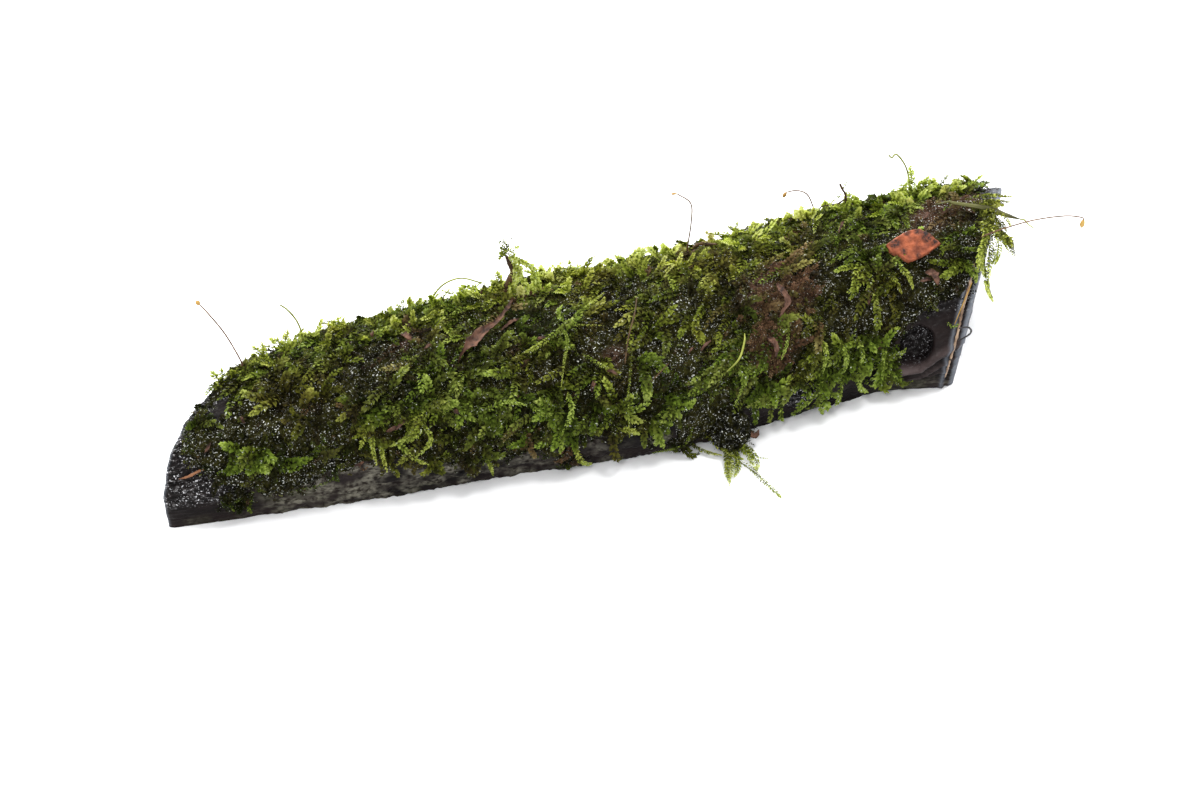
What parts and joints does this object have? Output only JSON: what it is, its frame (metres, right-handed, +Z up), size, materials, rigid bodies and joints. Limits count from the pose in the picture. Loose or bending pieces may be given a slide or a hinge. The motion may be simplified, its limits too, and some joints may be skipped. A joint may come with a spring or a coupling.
{
  "type": "christmas moss on driftwood",
  "caption": "Split log of dark driftwood with a flat underside, covered by a mat of leafy green moss with standing and hanging shoots, spore stalks and a red clay chip.",
  "frame": {"origin": "middle of the log's flat underside, half way between its two sawn ends", "axes": "+X along the log to its taller end, with the hanging tuft on the -Y side, +Z up"},
  "size_m": [0.2592, 0.0933, 0.053],
  "materials": {
    "driftwood_dark": "satin",
    "moss_green": "satin",
    "shoot_green": "satin",
    "hanging_green": "satin",
    "stem_green": "satin",
    "blade_green": "satin",
    "stalk_brown": "satin",
    "clay_red": "matte",
    "leaf_brown": "satin",
    "bark_pale": "matte",
    "fibre_brown": "matte"
  },
  "bodies": {
    "root": {"arching_stem": "stem_green", "bark_fibre": "fibre_brown", "bark_flakes_lower": "bark_pale", "bark_flakes_upper": "bark_pale", "bark_scrap_left": "bark_pale", "bark_strip": "bark_pale", "bark_twig": "fibre_brown", "clay_chip": "clay_red", "curled_leaf": "leaf_brown", "dead_stem_centre": "fibre_brown", "dead_stem_right": "fibre_brown", "driftwood": "driftwood_dark", "end_drape": "shoot_green", "front_shoot_centre": "shoot_green", "front_shoot_left": "shoot_green", "front_shoot_long": "shoot_green", "front_shoot_right_a": "shoot_green", "front_shoot_right_b": "shoot_green", "front_shoot_right_c": "shoot_green", "grass_blade": "blade_green", "hanging_tuft": "hanging_green", "leaf_scrap_right": "leaf_brown", "moss_mat": "moss_green", "shoot_centre_small": "shoot_green", "shoot_end_green": "shoot_green", "shoot_end_pale": "shoot_green", "shoot_forked_tip": "stem_green", "shoot_left_bright": "shoot_green", "shoot_left_end": "shoot_green", "shoot_left_pale": "shoot_green", "shoot_left_small": "shoot_green", "shoot_middle_small": "shoot_green", "shoot_right_small": "shoot_green", "shoot_right_spiky": "shoot_green", "shoot_tall_tuft": "shoot_green", "spore_stalk_back": "stalk_brown", "spore_stalk_bare": "stem_green", "spore_stalk_left": "stalk_brown", "spore_stalk_middle": "stalk_brown", "spore_stalk_right": "stalk_brown", "wood_splinter": "bark_pale"}
  },
  "joints": []
}
